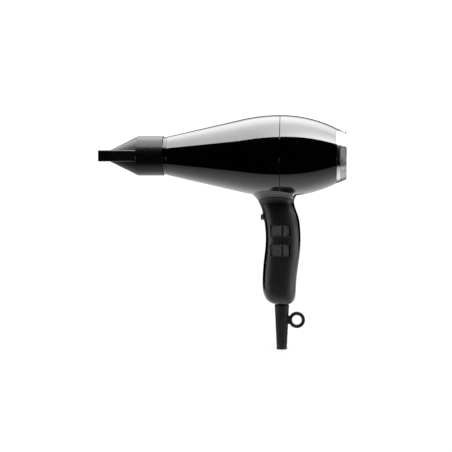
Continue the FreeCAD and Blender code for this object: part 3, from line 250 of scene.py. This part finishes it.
# %% Floor
reach = 6.0
floor_mesh = bpy.data.meshes.new("floor")
floor_corners = [(-reach, -reach, 0), (reach, -reach, 0), (reach, reach, 0), (-reach, reach, 0)]
floor_mesh.from_pydata(floor_corners, [], [(0, 1, 2, 3)])
floor = bpy.data.objects.new("floor", floor_mesh)
floor.location.z = low.z - 0.0005
bpy.context.scene.collection.objects.link(floor)
paper = bpy.data.materials.new("floor_paper")
paper.use_nodes = True
paper_shader = paper.node_tree.nodes["Principled BSDF"]
paper_shader.inputs["Base Color"].default_value = (0.9, 0.9, 0.9, 1)
paper_shader.inputs["Roughness"].default_value = 1.0
paper_shader.inputs["Specular IOR Level"].default_value = 0.0
paper_shader.inputs["Emission Color"].default_value = (1, 1, 1, 1)
paper_shader.inputs["Emission Strength"].default_value = 0.62
floor_mesh.materials.append(paper)
floor.visible_glossy = False
print("floor at", round(floor.location.z, 4))

# %% [markdown]
# The room itself is white for the eye, about half as bright for matt surfaces, black for reflections. One
# number does all three: a light path says which kind of ray is asking, and two small sums turn that into
# a strength.

# %% Room light
eye_light, matt_light = 1.1, 0.5
world = bpy.data.worlds.new("studio")
bpy.context.scene.world = world
world.use_nodes = True
room = world.node_tree
backdrop = room.nodes["Background"]
backdrop.inputs["Color"].default_value = (1, 1, 1, 1)
rays = room.nodes.new("ShaderNodeLightPath")
for_camera = room.nodes.new("ShaderNodeMath")
for_camera.operation = "MULTIPLY_ADD"
room.links.new(rays.outputs["Is Camera Ray"], for_camera.inputs[0])
for_camera.inputs[1].default_value = eye_light - matt_light
for_camera.inputs[2].default_value = matt_light
not_glossy = room.nodes.new("ShaderNodeMath")
not_glossy.operation = "MULTIPLY_ADD"
room.links.new(rays.outputs["Is Glossy Ray"], not_glossy.inputs[0])
not_glossy.inputs[1].default_value = -matt_light
room.links.new(for_camera.outputs[0], not_glossy.inputs[2])
room.links.new(not_glossy.outputs[0], backdrop.inputs["Strength"])
bpy.context.scene.view_settings.view_transform = "Standard"
print("room light for the eye", eye_light, "for matt surfaces", matt_light, "for reflections 0")

# %% [markdown]
# A finish is a material. Most of them take the same small set of steps: a ground colour that wanders a
# little, a roughness that wanders too, and a bump for the grain. The grain is measured in real
# millimetres, because the texture space of each part is the model's own space.

# %% An empty finish
def finish(name, rough, metallic=0.0, ior=1.5):
    """An empty finish: returns the material, its tree and its shader."""
    material = bpy.data.materials.new(name)
    material.use_nodes = True
    tree = material.node_tree
    shader = tree.nodes["Principled BSDF"]
    shader.inputs["Roughness"].default_value = rough
    shader.inputs["Metallic"].default_value = metallic
    shader.inputs["IOR"].default_value = ior
    return material, tree, shader


print("helper ready:", finish.__name__)

# %% [markdown]
# Noise is the raw stuff of every finish. Stretching its space along one axis turns the blotches into
# brush lines.

# %% Grain
def grain(tree, size_mm, detail=3.0, stretch=(1, 1, 1)):
    """Noise whose blotches are size_mm across; returns its value output."""
    place = tree.nodes.new("ShaderNodeTexCoord")
    scale = tree.nodes.new("ShaderNodeMapping")
    scale.inputs["Scale"].default_value = [s * 1000.0 / size_mm for s in stretch]
    noise = tree.nodes.new("ShaderNodeTexNoise")
    noise.inputs["Scale"].default_value = 1.0
    noise.inputs["Detail"].default_value = detail
    tree.links.new(place.outputs["Object"], scale.inputs["Vector"])
    tree.links.new(scale.outputs[0], noise.inputs["Vector"])
    return noise.outputs["Fac"]


print("helper ready:", grain.__name__)

# %% [markdown]
# The noise then picks between two colours and between two roughnesses. Real moulded plastic is never one
# even grey: fingers polish some places and dull others, and a little of that is enough to stop it looking
# computed.

# %% Colour and roughness from a value
def colour_between(tree, shader, value, dark, light, low_at=0.35, high_at=0.65):
    """Let a value choose between two colours."""
    ramp = tree.nodes.new("ShaderNodeValToRGB")
    ramp.color_ramp.elements[0].position = low_at
    ramp.color_ramp.elements[0].color = (*dark, 1)
    ramp.color_ramp.elements[1].position = high_at
    ramp.color_ramp.elements[1].color = (*light, 1)
    tree.links.new(value, ramp.inputs["Fac"])
    tree.links.new(ramp.outputs["Color"], shader.inputs["Base Color"])


def rough_between(tree, shader, value, smooth, rough, low_at=0.3, high_at=0.7):
    """Let a value choose between two roughnesses."""
    spread = tree.nodes.new("ShaderNodeMapRange")
    spread.inputs["From Min"].default_value = low_at
    spread.inputs["From Max"].default_value = high_at
    spread.inputs["To Min"].default_value = smooth
    spread.inputs["To Max"].default_value = rough
    tree.links.new(value, spread.inputs["Value"])
    tree.links.new(spread.outputs[0], shader.inputs["Roughness"])


print("helpers ready:", colour_between.__name__, rough_between.__name__)

# %% [markdown]
# A bump layer leans the surface without moving it, which suits grain finer than a hair. A bevel node
# under the layers does the same to sharp edges: moulded edges are never knife sharp, and the soft line of
# light that they catch is most of what tells the eye where one part ends and the next begins.

# %% Bumps and soft edges
def bumps(tree, shader, layers, edge_mm=0.0):
    """Stack height layers, each (value, depth in millimetres, strength), on edges softened by edge_mm."""
    below = None
    if edge_mm:
        soften = tree.nodes.new("ShaderNodeBevel")
        soften.samples = 6
        soften.inputs["Radius"].default_value = edge_mm / 1000.0
        below = soften.outputs["Normal"]
    for value, depth_mm, strength in layers:
        bump = tree.nodes.new("ShaderNodeBump")
        bump.inputs["Distance"].default_value = depth_mm / 1000.0
        bump.inputs["Strength"].default_value = strength
        tree.links.new(value, bump.inputs["Height"])
        if below:
            tree.links.new(below, bump.inputs["Normal"])
        below = bump.outputs["Normal"]
    tree.links.new(below, shader.inputs["Normal"])


def dress(material, *names):
    """Give CAD nodes a finish on all of their material slots."""
    for name in names:
        for slot in nodes[name].material_slots:
            slot.material = material
    print(material.name, "on", len(names), "parts")


print("helpers ready:", bumps.__name__, dress.__name__)

# %% [markdown]
# The housings are polished black plastic. Its own colour is almost nothing, and everything seen in it is
# mirrored, so the finish is mostly a very low roughness. A faint slow waviness keeps the mirror honest:
# injection moulded skins are never optically flat.

# %% Gloss black of the housings and handle shells
gloss, tree, shader = finish("gloss_black", 0.05, ior=1.52)
colour_between(tree, shader, grain(tree, 22.0, 4.0), (0.0003, 0.0003, 0.0003), (0.0009, 0.0009, 0.0010))
rough_between(tree, shader, grain(tree, 5.0, 6.0), 0.030, 0.065)
bumps(tree, shader, [(grain(tree, 7.0, 1.0), 0.005, 0.35), (grain(tree, 0.35, 2.0), 0.0006, 0.25)], 0.30)
dress(gloss, "front_housing", "rear_housing", "outlet_collar", "button_bezel")

# %% [markdown]
# The nozzle is the same black with a fine spark texture from the mould. The texture scatters the mirror
# image, so the white band spreads into a soft fade on the cone. It also swallows part of the light, and a
# lower index of refraction than the plastic really has stands in for that.

# %% Satin black of the nozzle
satin, tree, shader = finish("satin_black", 0.3, ior=1.30)
colour_between(tree, shader, grain(tree, 9.0, 4.0), (0.0006, 0.0006, 0.0006), (0.0014, 0.0014, 0.0015))
rough_between(tree, shader, grain(tree, 3.0, 5.0), 0.25, 0.31)
bumps(tree, shader, [(grain(tree, 0.24, 2.0), 0.0035, 0.30)], 0.4)
dress(satin, "nozzle")

# %% [markdown]
# The grip panels are coated with soft paint. Such paint is matt and slightly lighter than the shells,
# with a fine even tooth and a few wider clouds where it has been handled.

# %% Soft grip panels
soft, tree, shader = finish("soft_grip", 0.45, ior=1.5)
colour_between(tree, shader, grain(tree, 12.0, 5.0), (0.0010, 0.0010, 0.0010), (0.0028, 0.0028, 0.0029))
rough_between(tree, shader, grain(tree, 4.0, 5.0), 0.39, 0.46)
bumps(tree, shader, [(grain(tree, 0.22, 2.0), 0.012, 0.6), (grain(tree, 1.6, 2.0), 0.006, 0.3)], 0.45)
dress(soft, "left_grip_panel", "right_grip_panel")

# %% [markdown]
# The handle's shells are gloss like the barrel, but their skirt, which stands up round the neck above the
# panels, has the soft paint of the panels on it. A painter would mask the part at the top of the panels,
# and the material does the same: the height on the part decides which of the two colours and roughnesses
# it has.

# %% Handle shells, gloss below and soft on the skirt
shell, tree, shader = finish("handle_shell", 0.05, ior=1.52)
mask_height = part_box("left_grip_panel")[1][2]
mask_blur = 0.00005
where = tree.nodes.new("ShaderNodeTexCoord")
split = tree.nodes.new("ShaderNodeSeparateXYZ")
tree.links.new(where.outputs["Object"], split.inputs[0])
mask = tree.nodes.new("ShaderNodeMapRange")
mask.inputs["From Min"].default_value = mask_height - mask_blur
mask.inputs["From Max"].default_value = mask_height + mask_blur
tree.links.new(split.outputs["Z"], mask.inputs["Value"])
colour_between(tree, shader, mask.outputs[0], (0.0005, 0.0005, 0.0005), (0.0020, 0.0020, 0.0020))
worn = tree.nodes.new("ShaderNodeMath")
worn.operation = "MULTIPLY_ADD"
tree.links.new(grain(tree, 5.0, 6.0), worn.inputs[0])
worn.inputs[1].default_value = 0.06
tree.links.new(mask.outputs[0], worn.inputs[2])
rough_between(tree, shader, worn.outputs[0], 0.025, 0.42, 0.0, 1.03)
bumps(tree, shader, [(grain(tree, 7.0, 1.0), 0.005, 0.35), (grain(tree, 0.30, 2.0), 0.0010, 0.35)], 0.30)
dress(shell, "handle_left_shell", "handle_right_shell")
print("the paint starts", round(mask_height * 1000, 1), "mm above the middle of the grip")

# %% [markdown]
# The two rockers and the cool-shot button are dark grey, so that a thumb finds them against the black.
# They are moulded with a little more tooth than the shells. Each rocker's two faces meet at a line that is
# moulded into it, and the finish paints into that line the shade that its groove holds. Its place is read
# from the speed rocker, whose outermost points lie on the two lips of the line; the heat rocker's is within
# a fifth of a millimetre of it, so one finish serves both.

# %% Rockers and button
rocker, tree, shader = finish("rocker_satin", 0.36, ior=1.5)
points = [vertex.co for vertex in nodes["speed_rocker"].data.vertices]
face_y = min(point.y for point in points)
lip_tolerance = 0.00004
least_half = 0.0007
line_edge = 0.0002
lips = [point.x for point in points if point.y < face_y + lip_tolerance]
line_x = (min(lips) + max(lips)) / 2
line_half = max(least_half, (max(lips) - min(lips)) / 2)
where = tree.nodes.new("ShaderNodeTexCoord")
split = tree.nodes.new("ShaderNodeSeparateXYZ")
tree.links.new(where.outputs["Object"], split.inputs[0])
beside = tree.nodes.new("ShaderNodeMath")
beside.operation = "SUBTRACT"
tree.links.new(split.outputs["X"], beside.inputs[0])
beside.inputs[1].default_value = line_x
away_from_line = tree.nodes.new("ShaderNodeMath")
away_from_line.operation = "ABSOLUTE"
tree.links.new(beside.outputs[0], away_from_line.inputs[0])
# painted shade: this mask is 0 in the moulded line and 1 away from it, so the colour goes dark in the line
outside_painted_shade = tree.nodes.new("ShaderNodeMapRange")
outside_painted_shade.inputs["From Min"].default_value = line_half
outside_painted_shade.inputs["From Max"].default_value = line_half + line_edge
tree.links.new(away_from_line.outputs[0], outside_painted_shade.inputs["Value"])
painted_line_shade_and_grain = tree.nodes.new("ShaderNodeMath")
painted_line_shade_and_grain.operation = "MULTIPLY"
tree.links.new(outside_painted_shade.outputs[0], painted_line_shade_and_grain.inputs[0])
tree.links.new(grain(tree, 6.0, 4.0), painted_line_shade_and_grain.inputs[1])
# the dark colour is the painted shade in the line; away from it the grain only varies the grey
colour_between(tree, shader, painted_line_shade_and_grain.outputs[0], (0.005, 0.005, 0.005), (0.043, 0.043, 0.044), 0.15, 0.55)
print("rocker line at x", round(line_x * 1000, 2), "mm, half width", round(line_half * 1000, 2), "mm")
rough_between(tree, shader, grain(tree, 2.5, 4.0), 0.33, 0.40)
bumps(tree, shader, [(grain(tree, 0.25, 2.0), 0.008, 0.5)], 0.35)
dress(rocker, "speed_rocker", "heat_rocker", "cool_shot_button")

# %% [markdown]
# The ribbed ring at the back is plated with a silver film. Brush lines run around it, so the noise is
# squeezed along the barrel's axis and stretched in the other two directions. The tint makes it dark where
# it turns away from the eye, far darker than real silver, in place of the dark things a rim mirrors.

# %% Silver ring
silver, tree, shader = finish("silver_trim", 0.2, metallic=1.0)
lines = grain(tree, 0.12, 2.0, stretch=(1.0, 0.004, 0.004))
colour_between(tree, shader, lines, (0.46, 0.46, 0.47), (0.58, 0.58, 0.59))
rough_between(tree, shader, lines, 0.10, 0.18)
shader.inputs["Specular Tint"].default_value = (0.02, 0.02, 0.02, 1)
bumps(tree, shader, [(lines, 0.004, 0.35)], 0.20)
dress(silver, "filter_ring")

# %% [markdown]
# The rubber parts are matt black: the sleeve where the lead goes in, the grip ring in the nozzle's socket
# and the two rings that hold the motor. Their bump is deeper than the plastic's, and their index of
# refraction is lower than real rubber's, for the light that is lost in it.

# %% Black rubber
rubber, tree, shader = finish("black_rubber", 0.5, ior=1.28)
colour_between(tree, shader, grain(tree, 5.0, 5.0), (0.0050, 0.0050, 0.0050), (0.0105, 0.0105, 0.0105))
rough_between(tree, shader, grain(tree, 1.2, 4.0), 0.42, 0.58)
bumps(tree, shader, [(grain(tree, 0.18, 3.0), 0.015, 0.6)], 0.3)
dress(rubber, "strain_relief", "nozzle_grip_ring", "front_mount_ring", "rear_mount_ring")

# %% [markdown]
# Parts that only show through openings are plain moulded black. They are a shade lighter than the shells,
# because they are filled with glass fibre against the heat, and that leaves a dull, faintly speckled
# skin.

# %% Moulded black of grilles and inner plastic
moulded, tree, shader = finish("moulded_black", 0.4, ior=1.5)
colour_between(tree, shader, grain(tree, 4.0, 4.0), (0.010, 0.010, 0.010), (0.017, 0.017, 0.017))
rough_between(tree, shader, grain(tree, 2.0, 4.0), 0.36, 0.46)
bumps(tree, shader, [(grain(tree, 0.2, 2.0), 0.01, 0.5)], 0.2)
dress(moulded, "outlet_grille", "filter_basket", "fan_guard", "air_duct", "motor_front_bracket",
      "motor_rear_bracket", "thermostat", "speed_switch", "heat_switch", "cool_shot_switch",
      "terminal_block", "cord_clamp", "fan")

# %% [markdown]
# Inside there are a few metals. Steel is the commonest: its plating is a cloudy grey, duller in some
# places than in others, so one noise moves its colour and a finer one its roughness.

# %% Plated steel
steel, tree, shader = finish("plated_steel", 0.3, metallic=1.0)
colour_between(tree, shader, grain(tree, 1.5, 5.0), (0.42, 0.42, 0.43), (0.58, 0.58, 0.59))
rough_between(tree, shader, grain(tree, 0.8, 4.0), 0.24, 0.40)
dress(steel, "fan_clip", "motor_shaft", "stator_core", "armature_core", "brush_springs", "button_spring",
      "clamp_screws", "handle_screws", "neck_screws", "thermal_fuse", "heater_coils", "filter_mesh")

# %% [markdown]
# Copper needs two things to read as wound wire: painted shade and highlight that run the colour from dark
# to bright across each strand, and a bump that follows the same strands. Both come from one noise,
# stretched along the barrel.
# The bearings beside it are pressed bronze powder, which looks like fine sugar.

# %% Copper and bronze
copper, tree, shader = finish("copper_wire", 0.3, metallic=1.0)
strand_shade_and_ridges = grain(tree, 0.35, 1.0, stretch=(0.05, 1, 1))
# painted shade and highlight: the strand noise darkens and brightens the copper across each wire
colour_between(tree, shader, strand_shade_and_ridges, (0.42, 0.16, 0.07), (0.78, 0.36, 0.17))
bumps(tree, shader, [(strand_shade_and_ridges, 0.1, 0.8)])
dress(copper, "armature_windings", "field_coils", "commutator")
bronze, tree, shader = finish("sintered_bronze", 0.4, metallic=1.0)
colour_between(tree, shader, grain(tree, 0.3, 4.0), (0.36, 0.22, 0.09), (0.62, 0.42, 0.18))
dress(bronze, "motor_front_bearing", "motor_rear_bearing", "brush_holders")

# %% [markdown]
# The heater's boards are mica, a flaky mineral the colour of weak tea. The brushes are pressed carbon,
# and the leads have a red cover, so that nobody mistakes them for the black parts around them.

# %% Mica, carbon and wire cover
mica, tree, shader = finish("mica_sheet", 0.5)
colour_between(tree, shader, grain(tree, 1.5, 8.0), (0.35, 0.27, 0.15), (0.66, 0.56, 0.38))
rough_between(tree, shader, grain(tree, 3.0, 4.0), 0.30, 0.60)
dress(mica, "heater_board_upright", "heater_board_flat", "heater_sleeve")
carbon, tree, shader = finish("carbon_block", 0.6)
colour_between(tree, shader, grain(tree, 0.4, 6.0), (0.012, 0.012, 0.012), (0.04, 0.04, 0.04))
dress(carbon, "carbon_brushes")
wire, tree, shader = finish("wire_cover", 0.4)
colour_between(tree, shader, grain(tree, 3.0, 4.0), (0.24, 0.02, 0.015), (0.36, 0.04, 0.03))
dress(wire, "supply_leads", "motor_leads")

# %% [markdown]
# Behind the rear grille lies a disc of woven wire that keeps hair out of the fan. A flat disc with a
# picture of a weave would give itself away at the edge of every hole, so the cloth is made of real wires.
# Each wire is a curve that passes over one neighbour and under the next, and the crossing wires do the
# opposite, which is a plain weave. A curve with a round bevel is the lightest way to make so many wires.

# %% Woven wire of the rear filter
mesh_low, mesh_high = (Vector(corner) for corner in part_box("filter_mesh"))
cloth_middle = (mesh_low + mesh_high) / 2
cloth_radius = (mesh_high.y - mesh_low.y) / 2
wire_pitch = 0.0014
wire_radius = 0.00012
wave = wire_radius * 1.05
wires_each_side = int(cloth_radius / wire_pitch)
weave = bpy.data.curves.new("filter_weave", "CURVE")
weave.dimensions = "3D"
weave.bevel_depth = wire_radius
weave.bevel_resolution = 1
weave.resolution_u = 2
for upright in (False, True):
    for row in range(-wires_each_side, wires_each_side + 1):
        across = row * wire_pitch
        half = math.sqrt(max(cloth_radius ** 2 - across ** 2, 0.0))
        reach_steps = int(half / wire_pitch)
        if reach_steps < 1:
            continue
        line = weave.splines.new("NURBS")
        line.points.add(2 * reach_steps)
        line.order_u = 3
        line.use_endpoint_u = True
        for number, step in enumerate(range(-reach_steps, reach_steps + 1)):
            over = 1 if (row + step) % 2 == 0 else -1
            if upright:
                over = -over
            along = step * wire_pitch
            y, z = (across, along) if upright else (along, across)
            depth = cloth_middle.x + over * wave
            line.points[number].co = (depth, cloth_middle.y + y, cloth_middle.z + z, 1.0)
filter_weave = bpy.data.objects.new("filter_weave", weave)
bpy.context.scene.collection.objects.link(filter_weave)
filter_weave.data.materials.append(steel)
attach(filter_weave, "filter_basket")
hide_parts("filter_mesh")
print("filter weave:", len(weave.splines), "wires,", round(wire_pitch * 1000, 2), "mm apart")

# %% [markdown]
# The cool-shot button is pushed back out by a small coil spring. The spring has to shorten as the button
# goes in, which a rigid part can't; here it is wound again as a curve, turned into a mesh and hung on the
# body.

# %% Button spring wound again as a curve
spring_low, spring_high = (Vector(corner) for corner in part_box("button_spring"))
spring_middle = (spring_low + spring_high) / 2
spring_wire_radius = 0.00025
coil_radius = (spring_high.z - spring_low.z) / 2 - spring_wire_radius
spring_length = spring_high.x - spring_low.x
coil_length = spring_length - 2 * spring_wire_radius
coil_turns = 4
steps_per_turn = 20
coil = bpy.data.curves.new("cool_shot_spring", "CURVE")
coil.dimensions = "3D"
coil.bevel_depth = spring_wire_radius
coil.bevel_resolution = 2
coil.resolution_u = 2
turns_line = coil.splines.new("NURBS")
turns_line.points.add(coil_turns * steps_per_turn)
turns_line.order_u = 3
turns_line.use_endpoint_u = True
for number, point in enumerate(turns_line.points):
    angle = 2 * math.pi * number / steps_per_turn
    along = number / (coil_turns * steps_per_turn)
    x = spring_low.x + spring_wire_radius + along * coil_length
    y = spring_middle.y + coil_radius * math.cos(angle)
    z = spring_middle.z + coil_radius * math.sin(angle)
    point.co = (x, y, z, 1.0)
coil.use_fill_caps = True
wound = bpy.data.objects.new("wound_curve", coil)
bpy.context.scene.collection.objects.link(wound)
bpy.context.view_layer.update()
spring_mesh = bpy.data.meshes.new_from_object(wound.evaluated_get(bpy.context.evaluated_depsgraph_get()))
bpy.data.objects.remove(wound)
spring = bpy.data.objects.new("cool_shot_spring", spring_mesh)
bpy.context.scene.collection.objects.link(spring)
spring_mesh.materials.clear()
spring_mesh.materials.append(steel)
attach(spring, "body")
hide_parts("button_spring")
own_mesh(spring)
